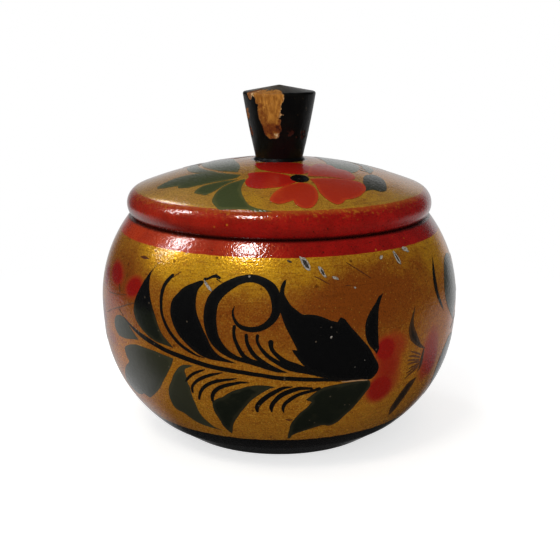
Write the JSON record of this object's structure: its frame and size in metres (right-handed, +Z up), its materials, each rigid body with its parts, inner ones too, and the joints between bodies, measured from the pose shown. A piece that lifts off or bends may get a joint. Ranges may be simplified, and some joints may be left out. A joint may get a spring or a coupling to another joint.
{
  "type": "lidded bowl",
  "caption": "Small round-bellied turned wooden bowl with a domed lift-off lid and a flared knob, painted in red, black and gold",
  "frame": {"origin": "centre of the resting face of the foot, on the turning axis", "axes": "+Z is up along the turning axis, through bowl, lid and knob; -Y is the side with the main painted branch"},
  "size_m": [0.12, 0.12, 0.115],
  "materials": {
    "gold_lacquered_wood": "gloss gold lacquer on turned linden wood",
    "red_lacquered_wood": "gloss red and gold lacquer on turned linden wood",
    "black_lacquered_wood": "gloss black lacquer, worn to bare wood"
  },
  "bodies": {
    "bowl": {"bowl": "gold_lacquered_wood"},
    "lid": {"lid": "red_lacquered_wood", "lid_knob": "black_lacquered_wood"}
  },
  "joints": [
    {"name": "lid_lift", "type": "slide", "parent": "bowl", "child": "lid", "axis": [0, 0, 1], "range_m": [0, 0.07]}
  ]
}
